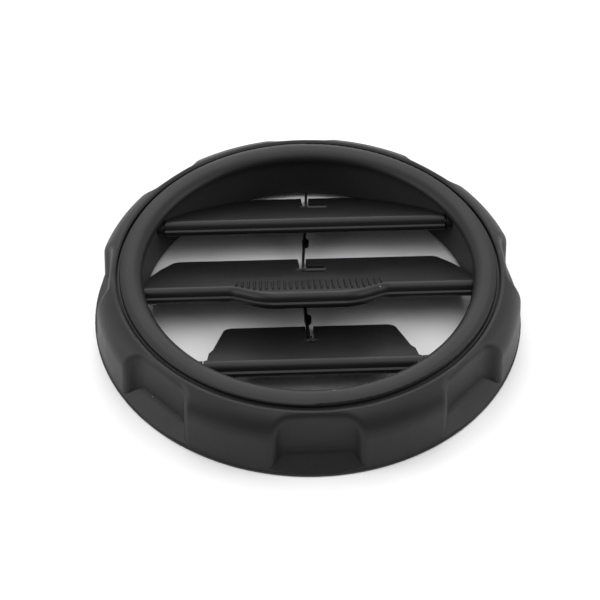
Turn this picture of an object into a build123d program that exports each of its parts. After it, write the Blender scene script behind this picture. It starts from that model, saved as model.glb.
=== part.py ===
from build123d import *
import math
import os

# ---------------------------------------------------------------------------
# Round console air vent, lying on its back, face up.  Millimetres.
# +Z is the vent's axis, z = 0 is the back of the grip ring, +X runs along the
# louver pivots and +Y points to the upper louver.
# ---------------------------------------------------------------------------

# grip ring
base_r = 48.0            # unbroken rim at the back
base_rim = 0.45          # height of that rim
seam_r = 41.85           # inner edge of the grip ring's lip
lip_under_z = 12.6       # underside of the lip
shoulder_r = 6.0         # rounding of the shoulder
shoulder_at = (40.95, 8.06)    # centre of that rounding
lip_z = 13.45            # inner edge of the lip
skirt_bore_r = 42.4      # bore below the lip
scoops = 8
scoop_wall_r = 43.45     # flat wall of a finger scoop, at its top
scoop_lean = 4.0         # the wall runs outwards towards the back
scoop_half = 6.8         # half width of the flat wall
scoop_spread = 0.9       # sideways run of the scoop's flanks per mm outwards
scoop_edge_r = 1.9       # rounding where a scoop meets a lobe

# bezel
bezel_in_r = 36.2
bezel_out_r = 41.1
flange_r = 42.2
bezel_under_z = 12.1
groove_z = 13.05         # floor of the groove between the bezel and the grip ring

# barrel
bore_r = 37.15
barrel_r = 38.8
barrel_low_z = 1.2

# louvers
pitch = 21.7             # spacing of the louver pivots
tilt = 27.8              # blades below the face plane
chord = 21.9
nose_t = 3.4             # thickness of the front bar
ledge_t, ledge_in = 1.9, 0.4   # ledge on the front bar's face
nose_y, nose_z = -6.05, 11.7   # front top line of the centre louver
pivot_s, pivot_t = 1.7, -1.7   # pivot behind and below that line
pin_r = 1.0
bush_bore_r = 1.06
bush_r = 1.7
lower_bush_x = 22.75
trim_r = 36.75           # louvers stay inside this radius

# ribs on the finger lip
rib_pitch, rib_h = 1.32, 0.42

# tie bar
link_s, link_t = 13.4, -0.45   # link pin on each blade
link_pin_r = 0.6
link_hole_r = 0.65
link_x = {"upper": 0.6, "center": -0.9, "lower": -0.1}
link_left = 1.5                                        # pin left of the strip
link_right = {"upper": 5.2, "center": 5.2, "lower": 1.5}
recess_s = 4.8                                         # recess that frees the pin's long end
strip_t = 0.6

# swivel
collar_r = 40.6
collar_bore_r = 38.88
collar_low_z, collar_top_z = 1.6, 10.15
foam_low_z = 0.25
glide_t = 0.4

os.makedirs("parts", exist_ok=True)

ca, sa = math.cos(math.radians(tilt)), math.sin(math.radians(tilt))


def blade_point(row, s, t):
    """Y and Z of a point s behind and t above a louver's front top line."""
    return (nose_y + pitch * row + s * ca + t * sa, nose_z - s * sa + t * ca)


rows = {"upper": 1, "center": 0, "lower": -1}
pivot = {n: blade_point(k, pivot_s, pivot_t) for n, k in rows.items()}
link_pin_at = {n: blade_point(k, link_s, link_t) for n, k in rows.items()}

# --------------------------------------------------------------- grip ring
with BuildPart() as scoop_tool:
    lean = math.radians(scoop_lean)
    top_of_wall = Plane(
        origin=(scoop_wall_r, 0, 13.0), x_dir=(math.cos(lean), 0, math.sin(lean)), z_dir=(-math.sin(lean), 0, math.cos(lean))
    )
    with BuildSketch(top_of_wall.offset(-16)) as plan:
        with BuildLine():
            far = 9.0
            w_far = scoop_half + far * scoop_spread
            Polyline((0, -scoop_half), (far, -w_far), (far, w_far), (0, scoop_half), close=True)
        make_face()
        fillet(plan.vertices().sort_by(Axis.X)[0:2], 3.3)
    extrude(amount=20)

# one eighth of the ring, with its scoop in the middle
with BuildPart() as sector:
    with BuildSketch(Plane.XZ):
        with BuildLine():
            side = (shoulder_at[0] + shoulder_r * 0.99374, shoulder_at[1] + shoulder_r * 0.11170)

            def shoulder(r):
                return (r, shoulder_at[1] + math.sqrt(shoulder_r ** 2 - (r - shoulder_at[0]) ** 2))

            Line((base_r - 0.15, 0), side)
            ThreePointArc(side, shoulder(45.3), shoulder(42.75))
            ThreePointArc(shoulder(42.75), (42.21, lip_z + 0.267), (seam_r, lip_z))
            Polyline(
                (seam_r, lip_z), (seam_r, lip_under_z), (skirt_bore_r, lip_under_z), (skirt_bore_r, 11.15),
                (skirt_bore_r - 0.42, 10.95), (skirt_bore_r - 0.42, 10.75),
                (skirt_bore_r, 10.4), (skirt_bore_r, 0), (base_r - 0.15, 0),
            )
        make_face()
    revolve(axis=Axis.Z)
    add(scoop_tool.part, mode=Mode.SUBTRACT)
    # softened edges between the lobes and the scoops
    mouth = [
        e for e in edges(Select.LAST)
        if math.hypot(e.center().X, e.center().Y) > seam_r + 0.6 and e.center().Z > 1.0
        and (abs(e.tangent_at(0.5).Z) < 0.98 or math.hypot(e.center().X, e.center().Y) > 45.5)
    ]
    fillet(mouth, scoop_edge_r)
    with BuildSketch(Plane.XY.offset(-1)):
        half = math.radians(180 / scoops)
        with BuildLine():
            Polyline(
                (0, 0), (60 * math.cos(half), -60 * math.sin(half)), (60 * math.cos(half), 60 * math.sin(half)), close=True
            )
        make_face()
    extrude(amount=20, mode=Mode.INTERSECT)

# flat ramp from a scoop's wall out to the rim
with BuildPart() as ramp:
    with BuildSketch(Plane.XZ):
        with BuildLine():
            Polyline((44.65, 3.23), (48.3, 0.2), (43.2, 0.2), (43.2, 4.7), (43.9, 4.7))
            ThreePointArc((43.9, 4.7), (44.25, 3.75), (44.65, 3.23))
        make_face()
    extrude(amount=12.5, both=True)
    Cone(47.83, 47.185, 6, align=(Align.CENTER, Align.CENTER, Align.MIN), mode=Mode.INTERSECT)

with BuildPart() as grip_ring:
    with PolarLocations(0, scoops):
        add(sector.part)
    # unbroken rim at the back
    with BuildSketch(Plane.XZ):
        with BuildLine():
            Polyline(
                (skirt_bore_r, 0), (base_r - 0.25, 0), (base_r, 0.25), (base_r, base_rim),
                (47.3, 0.8), (skirt_bore_r, 0.8), close=True,
            )
        make_face()
    revolve(axis=Axis.Z)
    with PolarLocations(0, scoops):
        add(ramp.part)
    # coring of the lobes, from the back
    with BuildSketch(Plane.XY):
        with PolarLocations(0, scoops, start_angle=180 / scoops):
            SlotArc(CenterArc((0, 0), 45.1, -6.5, 13), 1.8)
    extrude(amount=6.0, mode=Mode.SUBTRACT)
    # four keys that stop the ring turning on the bezel
    with BuildSketch(Plane.XY.offset(11.4)):
        with PolarLocations(flange_r, 4, start_angle=45):
            Rectangle(1.1, 3.0)
    extrude(amount=1.3)
grip_ring.part.label = "grip_ring"
export_step(grip_ring.part, "parts/grip_ring.step")

# ------------------------------------------------------------------- bezel
with BuildPart() as bezel:
    with BuildSketch(Plane.XZ):
        with BuildLine():
            Spline(
                (bezel_in_r, bezel_under_z), (36.75, 13.42), (37.9, 14.10), (39.4, 14.26), (40.65, 14.14),
                tangents=[(0, 1), (1, -0.2)],
            )
            TangentArc((40.65, 14.14), (bezel_out_r, 13.7), tangent=(1, -0.2))
            Polyline(
                (bezel_out_r, 13.7), (bezel_out_r, 13.2), (bezel_out_r + 0.15, groove_z), (41.55, groove_z),
                (41.55, 12.55), (flange_r, 12.55),
                (flange_r, 11.2), (41.5, 11.2), (41.5, 10.6), (barrel_r + 0.05, 10.6),
                (barrel_r + 0.05, bezel_under_z), (bezel_in_r, bezel_under_z),
            )
        make_face()
    revolve(axis=Axis.Z)
    # seats for the four keys
    with BuildSketch(Plane.XY.offset(11.2)):
        with PolarLocations(flange_r, 4, start_angle=45):
            Rectangle(1.2, 3.1)
    extrude(amount=1.6, mode=Mode.SUBTRACT)
    # keepers that close the barrel's slots above the bushes
    for name in rows:
        for side in (-1, 1):
            with BuildPart(mode=Mode.PRIVATE) as keeper:
                with BuildSketch(Plane.XY.offset(pivot[name][1] + bush_r)):
                    Circle(barrel_r)
                    Circle(bore_r, mode=Mode.SUBTRACT)
                    with Locations((side * 32, pivot[name][0])):
                        Rectangle(26, 2 * bush_r - 0.1, mode=Mode.INTERSECT)
                extrude(amount=bezel_under_z - pivot[name][1] - bush_r)
            add(keeper.part)
bezel.part.label = "bezel"
export_step(bezel.part, "parts/bezel.step")

# ------------------------------------------------------------------ barrel
with BuildPart() as barrel:
    with BuildSketch(Plane.XZ):
        with BuildLine():
            Polyline(
                (bore_r + 0.3, barrel_low_z), (barrel_r - 0.3, barrel_low_z), (barrel_r, barrel_low_z + 0.3),
                (barrel_r, 2.1), (38.0, 2.1), (38.0, 2.9), (barrel_r, 2.9),
                (barrel_r, bezel_under_z), (bore_r, bezel_under_z), (bore_r, barrel_low_z + 0.3), close=True,
            )
        make_face()
    revolve(axis=Axis.Z)
    # slots for the pivot bushes, open to the front
    for name in rows:
        py, pz = pivot[name]
        for side in (-1, 1):
            with BuildSketch(Plane.YZ.offset(side * 21)):
                with Locations((py, pz)):
                    Circle(bush_r)
                with Locations((py, pz + 2.5)):
                    Rectangle(2 * bush_r, 5)
            extrude(amount=side * 20, mode=Mode.SUBTRACT)
barrel.part.label = "barrel"
export_step(barrel.part, "parts/barrel.step")

# ------------------------------------------------------------ pivot bushes
bush_span = {}
for name in rows:
    py, pz = pivot[name]
    outer = math.sqrt(38.65 ** 2 - (abs(py) + bush_r) ** 2)
    inner = math.sqrt(bore_r ** 2 - (abs(py) + bush_r) ** 2) + 0.3
    if name == "lower":
        inner = lower_bush_x           # stands out from the wall as far as the front bar's end
    bush_span[name] = (inner, outer)
    for side, tag in ((-1, "left"), (1, "right")):
        with BuildPart() as bush:
            with BuildSketch(Plane.YZ.offset(side * inner)):
                with Locations((py, pz)):
                    Circle(bush_r)
                    Circle(bush_bore_r, mode=Mode.SUBTRACT)
            extrude(amount=side * (outer - inner))
        bush.part.label = f"pivot_bush_{name}_{tag}"
        export_step(bush.part, f"parts/pivot_bush_{name}_{tag}.step")

# ----------------------------------------------------------------- louvers
lip_half, lip_root, lip_out = 7.0, 17.6, 5.5


def flat(row, t):
    """Plane parallel to a blade, t above its top face; local x is X, local y runs to the rear."""
    y, z = blade_point(row, 0, t)
    return Plane(origin=(0, y, z), x_dir=(1, 0, 0), z_dir=(0, sa, ca))


def section(row):
    """Plane across a blade: local x runs to the rear, local y is up from the blade."""
    y, z = blade_point(row, 0, 0)
    return Plane(origin=(0, y, z), x_dir=(0, ca, -sa), z_dir=(1, 0, 0))


def outline(name, inset):
    """Right half of a blade's outline, front to rear, for one layer of its front bar."""
    if name == "center":
        return [(35.9, inset), (35.9, 3.6), (35.3, 10.2), (33.4, 15.8), (30.5, chord)]
    if name == "upper":
        return [(32.3, inset), (32.3, 4.0), (31.9, chord)]
    return [(22.5, inset), (22.5, 1.9), (21.8, 2.4), (21.6, 6.4), (20.8, 8.4), (20.5, 10.6), (18.7, chord)]


louvers = {}
for name, row in rows.items():
    with BuildPart() as louver:
        for top, depth, inset in ((-ledge_t, nose_t - ledge_t, 0.0), (0.0, ledge_t, ledge_in)):
            with BuildSketch(flat(row, top)) as blade:
                pts = outline(name, inset)
                with BuildLine():
                    if name == "center":
                        f = inset
                        Line((lip_half, f - lip_out), (-lip_half, f - lip_out))
                        Bezier((-lip_half, f - lip_out), (-12.4, f - lip_out), (-15.2, f), (-lip_root, f))
                        Line((-lip_root, f), (-pts[0][0], f))
                        Polyline(*[(-x, y) for x, y in pts])
                        Line((-pts[-1][0], chord), (pts[-1][0], chord))
                        Polyline(*reversed(pts))
                        Line((pts[0][0], f), (lip_root, f))
                        Bezier((lip_root, f), (15.2, f), (12.4, f - lip_out), (lip_half, f - lip_out))
                    else:
                        Polyline(*([(-x, y) for x, y in pts] + list(reversed(pts))), close=True)
                make_face()
                if name != "upper":
                    fillet(blade.vertices().filter_by_position(Axis.Y, chord - 0.01, chord + 0.01), 2.2)
            extrude(amount=-depth)
            if top < 0:
                ledge = [
                    e for e in edges()
                    if abs(section(row).to_local_coords(e.center()).Y + ledge_t) < 0.02
                    and section(row).to_local_coords(e.center()).X < 0.2 and abs(e.center().X) < pts[0][0] - 0.8
                ]
                chamfer(ledge, ledge_in - 0.05)
        # underside: full depth at the front bar, thin towards the rear
        with BuildSketch(section(row).offset(-45)):
            with BuildLine():
                Polyline(
                    (3.5, -nose_t - 1), (3.5, -nose_t), (6.6, -1.95), (chord + 1, -1.25), (chord + 1, -nose_t - 1),
                    close=True,
                )
            make_face()
        extrude(amount=90, mode=Mode.SUBTRACT)
        # the blade stays inside the barrel
        with BuildSketch(Plane.XY.offset(-10)):
            Circle(trim_r)
        extrude(amount=40, mode=Mode.INTERSECT)
        # rounded front edges
        n = section(row)
        front_top = [
            e for e in edges()
            if abs(n.to_local_coords(e.center()).Y) < 0.02 and n.to_local_coords(e.center()).X < ledge_in + 0.3
            and abs(e.center().X) < (pts[0][0] - 0.8)
        ]
        fillet(front_top, 1.35)
        front_low = [
            e for e in edges()
            if abs(n.to_local_coords(e.center()).Y + nose_t) < 0.02 and n.to_local_coords(e.center()).X < 0.6
            and abs(e.center().X) < (pts[0][0] - 0.8)
        ]
        fillet(front_low, 1.0)
        # notch for the tie bar
        x0 = link_x[name]
        with BuildSketch(flat(row, 3)):
            with BuildLine():
                Polyline(
                    (x0 - 0.95, chord + 2), (x0 - 0.72, link_s - 1.0), (x0 - 0.45, link_s - 2.0),
                    (x0 + 0.45, link_s - 2.0), (x0 + 0.72, link_s - 1.0), (x0 + 0.95, chord + 2), close=True,
                )
            make_face()
        extrude(amount=-9, mode=Mode.SUBTRACT)
        # recess around the link pin's long right end, and the pin's own bed
        if name != "lower":
            with BuildSketch(flat(row, 0.5)):
                with Locations((x0 + 0.4 + (link_right[name] - 0.7) / 2, link_s)):
                    RectangleRounded(link_right[name] - 0.7, recess_s, 0.9)
            extrude(amount=-1.6, mode=Mode.SUBTRACT)
        with BuildSketch(section(row).offset(x0 - link_left)):
            with Locations((link_s, link_t)):
                Circle(link_pin_r)
        extrude(amount=link_left + link_right[name], mode=Mode.SUBTRACT)
        # ribs on the finger lip
        if name == "center":
            with BuildSketch(flat(row, 0)):
                for i in range(25):
                    x = (i - 12) * rib_pitch
                    front = -2.0 if abs(x) < 11.5 else -2.0 + (abs(x) - 11.5) * 0.75
                    with Locations((x, (front + 4.1) / 2)):
                        Rectangle(0.62, 4.1 - front)
            extrude(amount=rib_h, taper=25)
        # pivot pins, with a shoulder next to the front bar
        py, pz = pivot[name]
        for side in (-1, 1):
            start = pts[0][0] - 3.0
            with BuildSketch(Plane.YZ.offset(side * start)):
                with Locations((py, pz)):
                    Circle(pin_r)
            extrude(amount=side * (bush_span[name][1] - 0.1 - start))
    louver.part.label = f"louver_{name}"
    louvers[name] = louver
    export_step(louver.part, f"parts/louver_{name}.step")

# --------------------------------------------------------------- link pins
for name, row in rows.items():
    with BuildPart() as link_pin:
        with BuildSketch(section(row).offset(link_x[name] - link_left)):
            with Locations((link_s, link_t)):
                Circle(link_pin_r)
        extrude(amount=link_left + link_right[name])
    link_pin.part.label = f"link_pin_{name}"
    export_step(link_pin.part, f"parts/link_pin_{name}.step")

# ----------------------------------------------------------------- tie bar
bar_hi, bar_lo = -1.25, -3.5       # edges of the strip, below the pins
pin_z = link_pin_at["center"][1]
ys = {n: link_pin_at[n][0] for n in rows}
with BuildPart() as tie_bar:
    # the strip is bowed slightly sideways between the louvers
    with BuildSketch(Plane.XY.offset(pin_z + bar_lo)) as strip:
        with BuildLine():
            way = [
                (link_x["lower"] + 0.25, ys["lower"] - 3.2),
                (link_x["lower"], ys["lower"]),
                (link_x["center"], ys["center"]),
                (link_x["upper"], ys["upper"]),
                (link_x["upper"] + 0.35, ys["upper"] + 7.6),
            ]
            left = Spline(*[(x - strip_t / 2, y) for x, y in way])
            right = Spline(*[(x + strip_t / 2, y) for x, y in way])
            Line(left @ 0, right @ 0)
            Line(left @ 1, right @ 1)
        make_face()
    extrude(amount=bar_hi - bar_lo)
    for name in rows:
        # eye that rises from the strip to the link pin
        with BuildSketch(Plane.YZ.offset(link_x[name] - strip_t / 2)):
            with BuildLine():
                y, z = ys[name], pin_z
                Polyline((y + 1.15, z), (y + 1.15, z + bar_hi - 0.6), (y - 1.15, z + bar_hi - 0.6), (y - 1.15, z))
                ThreePointArc((y - 1.15, z), (y, z + 1.15), (y + 1.15, z))
            make_face()
        extrude(amount=strip_t)
    # half-round stops on the right side of the strip, behind the centre and lower louvers
    for x, name, gap in ((-0.20, "center", 11.8), (-0.67, "lower", 8.6)):
        with BuildSketch(Plane.XY.offset(pin_z + (bar_lo + bar_hi) / 2 - 0.5)):
            with Locations((x + 0.35, ys[name] + gap)):
                Ellipse(0.8, 1.2)
        extrude(amount=1.0)
    for name in rows:
        with BuildSketch(Plane.YZ.offset(-4)):
            with Locations((ys[name], pin_z)):
                Circle(link_hole_r)
        extrude(amount=8, mode=Mode.SUBTRACT)
tie_bar.part.label = "tie_bar"
export_step(tie_bar.part, "parts/tie_bar.step")

# ----------------------------------------------------------- swivel collar
with BuildPart() as swivel_collar:
    with BuildSketch(Plane.XZ):
        with BuildLine():
            Polyline(
                (39.6, collar_low_z), (collar_r - 0.3, collar_low_z), (collar_r, collar_low_z + 0.3),
                (collar_r, collar_top_z), (39.25, collar_top_z), (39.25, 7.2), (collar_bore_r, 6.8),
                (collar_bore_r, 3.0), (39.6, 3.0), close=True,
            )
        make_face()
    revolve(axis=Axis.Z)
    # four key grooves that stop it turning in the console
    with BuildSketch(Plane.XY.offset(collar_low_z - 1)):
        with PolarLocations(collar_r, 4, start_angle=45):
            Rectangle(0.9, 2.4)
    extrude(amount=5.5, mode=Mode.SUBTRACT)
swivel_collar.part.label = "swivel_collar"
export_step(swivel_collar.part, "parts/swivel_collar.step")

# ---------------------------------------------------------- retaining ring
with BuildPart() as retaining_ring:
    with BuildSketch(Plane.XY.offset(2.1)):
        Circle(39.3)
        Circle(38.0, mode=Mode.SUBTRACT)
        with Locations((0, -39)):
            Rectangle(7, 6, mode=Mode.SUBTRACT)
    extrude(amount=0.8)
retaining_ring.part.label = "retaining_ring"
export_step(retaining_ring.part, "parts/retaining_ring.step")

# -------------------------------------------------------------- glide ring
with BuildPart() as glide_ring:
    with BuildSketch(Plane.XY.offset(10.6 - glide_t)):
        Circle(41.3)
        Circle(39.3, mode=Mode.SUBTRACT)
    extrude(amount=glide_t)
glide_ring.part.label = "glide_ring"
export_step(glide_ring.part, "parts/glide_ring.step")

# --------------------------------------------------------------- foam seal
with BuildPart() as foam_seal:
    with BuildSketch(Plane.XY.offset(foam_low_z)):
        Circle(40.15)
        Circle(39.15, mode=Mode.SUBTRACT)
    extrude(amount=collar_low_z - foam_low_z)
foam_seal.part.label = "foam_seal"
export_step(foam_seal.part, "parts/foam_seal.step")
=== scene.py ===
import math

import bpy
from mathutils import Matrix, Vector

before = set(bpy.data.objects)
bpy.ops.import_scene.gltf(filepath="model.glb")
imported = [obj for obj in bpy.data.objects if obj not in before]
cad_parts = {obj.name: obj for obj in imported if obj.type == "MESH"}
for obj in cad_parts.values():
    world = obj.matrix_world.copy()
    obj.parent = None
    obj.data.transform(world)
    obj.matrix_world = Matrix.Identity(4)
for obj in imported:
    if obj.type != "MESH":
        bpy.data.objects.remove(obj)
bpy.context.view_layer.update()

scene = bpy.context.scene


# ------------------------------------------------------------------ materials
def satin_plastic(
    name, colour, rough, grain=0.00002, grain_scale=5200.0, cloud=0.10, spec=0.5, dust=0.0, dust_scale=95.0
):
    """Moulded black plastic: fine grain, slow tone and gloss changes, a few dust specks."""
    mat = bpy.data.materials.new(name)
    mat.use_nodes = True
    nt = mat.node_tree
    n, l = nt.nodes, nt.links
    bsdf = n["Principled BSDF"]
    bsdf.inputs["IOR"].default_value = 1.47
    bsdf.inputs["Specular IOR Level"].default_value = spec
    at = n.new("ShaderNodeTexCoord")

    # slow change of tone over the surface
    tone = n.new("ShaderNodeTexNoise")
    tone.inputs["Scale"].default_value = 55.0
    tone.inputs["Detail"].default_value = 4.0
    tone.inputs["Roughness"].default_value = 0.55
    l.new(at.outputs["Object"], tone.inputs["Vector"])
    ramp = n.new("ShaderNodeValToRGB")
    c = Vector(colour)
    ramp.color_ramp.elements[0].position = 0.30
    ramp.color_ramp.elements[0].color = (*(c * (1.0 - cloud)), 1.0)
    ramp.color_ramp.elements[1].position = 0.70
    ramp.color_ramp.elements[1].color = (*(c * (1.0 + cloud)), 1.0)
    l.new(tone.outputs["Fac"], ramp.inputs["Fac"])

    # gloss changes a little where the mould was polished differently
    gloss = n.new("ShaderNodeTexNoise")
    gloss.inputs["Scale"].default_value = 120.0
    gloss.inputs["Detail"].default_value = 3.0
    l.new(at.outputs["Object"], gloss.inputs["Vector"])
    span = n.new("ShaderNodeMapRange")
    span.inputs["From Min"].default_value = 0.3
    span.inputs["From Max"].default_value = 0.7
    span.inputs["To Min"].default_value = rough - 0.035
    span.inputs["To Max"].default_value = rough + 0.035
    l.new(gloss.outputs["Fac"], span.inputs["Value"])

    # spark-eroded grain of the mould
    fine = n.new("ShaderNodeTexNoise")
    fine.inputs["Scale"].default_value = grain_scale
    fine.inputs["Detail"].default_value = 2.0
    fine.inputs["Roughness"].default_value = 0.6
    l.new(at.outputs["Object"], fine.inputs["Vector"])
    bump = n.new("ShaderNodeBump")
    bump.inputs["Strength"].default_value = 0.55
    bump.inputs["Distance"].default_value = grain
    l.new(fine.outputs["Fac"], bump.inputs["Height"])
    l.new(bump.outputs["Normal"], bsdf.inputs["Normal"])

    colour_out = ramp.outputs["Color"]
    rough_out = span.outputs["Result"]
    if dust > 0.0:
        cells = n.new("ShaderNodeTexVoronoi")
        cells.feature = "F1"
        cells.inputs["Scale"].default_value = dust_scale
        l.new(at.outputs["Object"], cells.inputs["Vector"])
        near = n.new("ShaderNodeMath")
        near.operation = "LESS_THAN"
        near.inputs[1].default_value = dust
        l.new(cells.outputs["Distance"], near.inputs[0])
        pick = n.new("ShaderNodeSeparateColor")
        l.new(cells.outputs["Color"], pick.inputs["Color"])
        some = n.new("ShaderNodeMath")
        some.operation = "GREATER_THAN"
        some.inputs[1].default_value = 0.90
        l.new(pick.outputs["Red"], some.inputs[0])
        speck = n.new("ShaderNodeMath")
        speck.operation = "MULTIPLY"
        l.new(near.outputs[0], speck.inputs[0])
        l.new(some.outputs[0], speck.inputs[1])
        mix = n.new("ShaderNodeMix")
        mix.data_type = "RGBA"
        mix.inputs["B"].default_value = (0.30, 0.30, 0.29, 1.0)
        l.new(speck.outputs[0], mix.inputs["Factor"])
        l.new(colour_out, mix.inputs["A"])
        colour_out = mix.outputs["Result"]
        dull = n.new("ShaderNodeMath")
        dull.operation = "MAXIMUM"
        l.new(speck.outputs[0], dull.inputs[0])
        l.new(rough_out, dull.inputs[1])
        rough_out = dull.outputs[0]
    l.new(colour_out, bsdf.inputs["Base Color"])
    l.new(rough_out, bsdf.inputs["Roughness"])
    return mat


def spring_steel(name):
    """Rolled spring wire: fine drawn lines along the ring."""
    mat = bpy.data.materials.new(name)
    mat.use_nodes = True
    n, l = mat.node_tree.nodes, mat.node_tree.links
    bsdf = n["Principled BSDF"]
    bsdf.inputs["Metallic"].default_value = 1.0
    at = n.new("ShaderNodeTexCoord")
    stretch = n.new("ShaderNodeMapping")
    stretch.inputs["Scale"].default_value = (300.0, 300.0, 9000.0)
    l.new(at.outputs["Object"], stretch.inputs["Vector"])
    lines = n.new("ShaderNodeTexNoise")
    lines.inputs["Scale"].default_value = 1.0
    lines.inputs["Detail"].default_value = 3.0
    l.new(stretch.outputs["Vector"], lines.inputs["Vector"])
    ramp = n.new("ShaderNodeValToRGB")
    ramp.color_ramp.elements[0].color = (0.24, 0.24, 0.25, 1.0)
    ramp.color_ramp.elements[1].color = (0.42, 0.42, 0.43, 1.0)
    l.new(lines.outputs["Fac"], ramp.inputs["Fac"])
    l.new(ramp.outputs["Color"], bsdf.inputs["Base Color"])
    span = n.new("ShaderNodeMapRange")
    span.inputs["To Min"].default_value = 0.28
    span.inputs["To Max"].default_value = 0.45
    l.new(lines.outputs["Fac"], span.inputs["Value"])
    l.new(span.outputs["Result"], bsdf.inputs["Roughness"])
    return mat


def foam(name):
    """Closed-cell foam: small pits, with painted shade darkening each pit."""
    mat = bpy.data.materials.new(name)
    mat.use_nodes = True
    n, l = mat.node_tree.nodes, mat.node_tree.links
    bsdf = n["Principled BSDF"]
    bsdf.inputs["Specular IOR Level"].default_value = 0.2
    bsdf.inputs["Roughness"].default_value = 0.95
    at = n.new("ShaderNodeTexCoord")
    cells = n.new("ShaderNodeTexVoronoi")
    cells.inputs["Scale"].default_value = 2600.0
    l.new(at.outputs["Object"], cells.inputs["Vector"])
    # painted shade: the colour darkens toward each pit's centre, where the bump sinks the surface
    ramp = n.new("ShaderNodeValToRGB")
    ramp.color_ramp.elements[0].color = (0.012, 0.012, 0.012, 1.0)
    ramp.color_ramp.elements[1].color = (0.045, 0.045, 0.046, 1.0)
    l.new(cells.outputs["Distance"], ramp.inputs["Fac"])
    l.new(ramp.outputs["Color"], bsdf.inputs["Base Color"])
    bump = n.new("ShaderNodeBump")
    bump.inputs["Strength"].default_value = 0.8
    bump.inputs["Distance"].default_value = 0.0001
    l.new(cells.outputs["Distance"], bump.inputs["Height"])
    l.new(bump.outputs["Normal"], bsdf.inputs["Normal"])
    return mat


looks = {
    "grip": satin_plastic("grip_plastic", (0.0102, 0.0102, 0.0103), 0.46, spec=0.27, dust=0.050, dust_scale=300.0),
    "bezel": satin_plastic("bezel_plastic", (0.0080, 0.0081, 0.0087), 0.44, spec=0.27, dust=0.040, dust_scale=260.0),
    "barrel": satin_plastic("barrel_plastic", (0.0280, 0.0280, 0.0282), 0.55, spec=0.20),
    "louver": satin_plastic("louver_plastic", (0.0080, 0.0080, 0.0082), 0.42, spec=0.27, dust=0.050, dust_scale=320.0),
    "link": satin_plastic("link_plastic", (0.0045, 0.0045, 0.0045), 0.50, grain=0.00001, spec=0.15),
    "pin": satin_plastic("pin_plastic", (0.0080, 0.0080, 0.0080), 0.40, grain=0.000006, spec=0.30),
    "collar": satin_plastic("collar_plastic", (0.0160, 0.0160, 0.0160), 0.55),
    "bush": satin_plastic("bush_plastic", (0.0100, 0.0100, 0.0102), 0.42, grain=0.000008, spec=0.27),
    "glide": satin_plastic("glide_plastic", (0.6200, 0.6150, 0.5900), 0.50, grain=0.00001, cloud=0.05),
    "steel": spring_steel("spring_steel"),
    "foam": foam("seal_foam"),
}
finish = {
    "grip_ring": "grip", "bezel": "bezel", "barrel": "barrel", "tie_bar": "link",
    "louver_upper": "louver", "louver_center": "louver", "louver_lower": "louver",
    "link_pin_upper": "pin", "link_pin_center": "pin", "link_pin_lower": "pin",
    "swivel_collar": "collar", "retaining_ring": "steel", "glide_ring": "glide", "foam_seal": "foam",
}
for node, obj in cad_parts.items():
    look = looks[finish.get(node, "bush")]
    if obj.material_slots:
        for slot in obj.material_slots:
            slot.material = look
    else:
        obj.data.materials.append(look)

# ---------------------------------------------------------------------- floor
bpy.ops.mesh.primitive_plane_add(size=6.0, location=(0.0, 0.0, 0.0))
floor = bpy.context.object
floor.name = "floor"
mat = bpy.data.materials.new("floor_paper")
mat.use_nodes = True
n, l = mat.node_tree.nodes, mat.node_tree.links
bsdf = n["Principled BSDF"]
bsdf.inputs["Roughness"].default_value = 0.85
bsdf.inputs["Specular IOR Level"].default_value = 0.1
at = n.new("ShaderNodeTexCoord")
tone = n.new("ShaderNodeTexNoise")
tone.inputs["Scale"].default_value = 3.0
l.new(at.outputs["Object"], tone.inputs["Vector"])
ramp = n.new("ShaderNodeValToRGB")
ramp.color_ramp.elements[0].color = (0.86, 0.86, 0.86, 1.0)
ramp.color_ramp.elements[1].color = (0.89, 0.89, 0.89, 1.0)
l.new(tone.outputs["Fac"], ramp.inputs["Fac"])
l.new(ramp.outputs["Color"], bsdf.inputs["Base Color"])
floor.data.materials.append(mat)

# ---------------------------------------------------------------------- light
world = bpy.data.worlds.new("studio")
scene.world = world
world.use_nodes = True
n, l = world.node_tree.nodes, world.node_tree.links
# a wide soft dome, bright above and behind the part, dimmer at the sides and in front
back = n["Background"]
at = n.new("ShaderNodeTexCoord")
parts = n.new("ShaderNodeSeparateXYZ")
l.new(at.outputs["Generated"], parts.inputs["Vector"])
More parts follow.
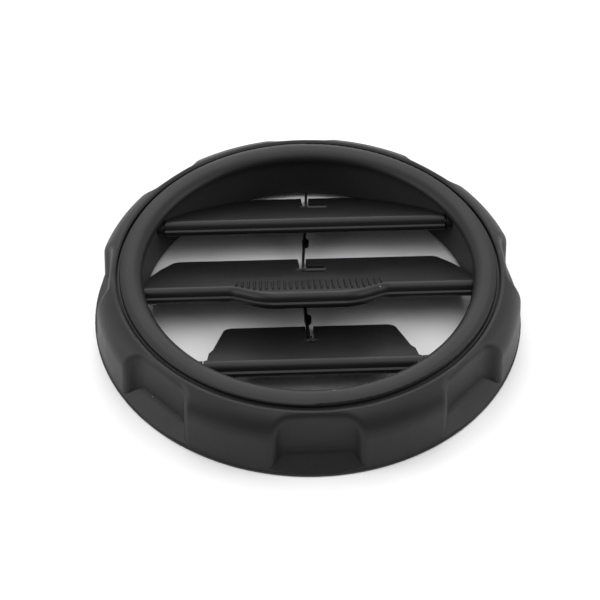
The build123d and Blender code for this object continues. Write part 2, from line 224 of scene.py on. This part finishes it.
# angle over the part, from the front horizon (0) past the zenith (0.5) to the back horizon (1)
front = n.new("ShaderNodeMath")
front.operation = "MULTIPLY"
front.inputs[1].default_value = -1.0
l.new(parts.outputs["Y"], front.inputs[0])
angle = n.new("ShaderNodeMath")
angle.operation = "ARCTAN2"
l.new(parts.outputs["Z"], angle.inputs[0])
l.new(front.outputs[0], angle.inputs[1])
span = n.new("ShaderNodeMath")
span.operation = "DIVIDE"
span.inputs[1].default_value = math.pi
l.new(angle.outputs[0], span.inputs[0])
dome = n.new("ShaderNodeValToRGB")
dome.color_ramp.interpolation = "EASE"
dome.color_ramp.elements[0].position = 0.0
dome.color_ramp.elements[0].color = (0.10, 0.10, 0.10, 1.0)
dome.color_ramp.elements[1].position = 1.0
dome.color_ramp.elements[1].color = (0.92, 0.93, 0.95, 1.0)
for place, level in ((0.22, 0.10), (0.30, 0.18), (0.36, 0.68), (0.44, 1.0), (0.80, 1.0)):
    step = dome.color_ramp.elements.new(place)
    step.color = (level, level, level, 1.0)
l.new(span.outputs[0], dome.inputs["Fac"])
l.new(dome.outputs["Color"], back.inputs["Color"])
side = n.new("ShaderNodeMath")
side.operation = "ABSOLUTE"
l.new(parts.outputs["X"], side.inputs[0])
fall = n.new("ShaderNodeMapRange")
fall.interpolation_type = "SMOOTHSTEP"
fall.inputs["From Min"].default_value = 0.04
fall.inputs["From Max"].default_value = 0.42
fall.inputs["To Min"].default_value = 2.95
fall.inputs["To Max"].default_value = 1.15
l.new(side.outputs[0], fall.inputs["Value"])
l.new(fall.outputs["Result"], back.inputs["Strength"])


def softbox(name, place, aim, size, watts):
    light = bpy.data.lights.new(name, "AREA")
    light.shape = "SQUARE"
    light.size = size
    light.energy = watts
    obj = bpy.data.objects.new(name, light)
    scene.collection.objects.link(obj)
    obj.location = place
    obj.rotation_euler = (Vector(aim) - Vector(place)).to_track_quat("-Z", "Y").to_euler()


softbox("left_side", (-0.70, -0.10, 0.36), (0.0, 0.0, 0.0), 0.5, 2.1)
softbox("right_side", (0.70, -0.10, 0.36), (0.0, 0.0, 0.0), 0.5, 1.7)

# --------------------------------------------------------------------- camera
cam = bpy.data.cameras.new("camera")
cam.sensor_width = 36.0
cam.lens = 1142.1 / 600.0 * 36.0
cam.clip_start = 0.01
cam.clip_end = 20.0
camera = bpy.data.objects.new("camera", cam)
scene.collection.objects.link(camera)
forward = Vector((0.026015, 0.699535, -0.714104)).normalized()
right = forward.cross(Vector((0.0, 0.0, 1.0))).normalized()
up = right.cross(forward)
rot = Matrix((right, up, -forward)).transposed()
camera.matrix_world = Matrix.Translation((-0.008522, -0.181225, 0.186349)) @ rot.to_4x4()
scene.camera = camera

scene.view_settings.view_transform = "Standard"
scene.view_settings.look = "None"
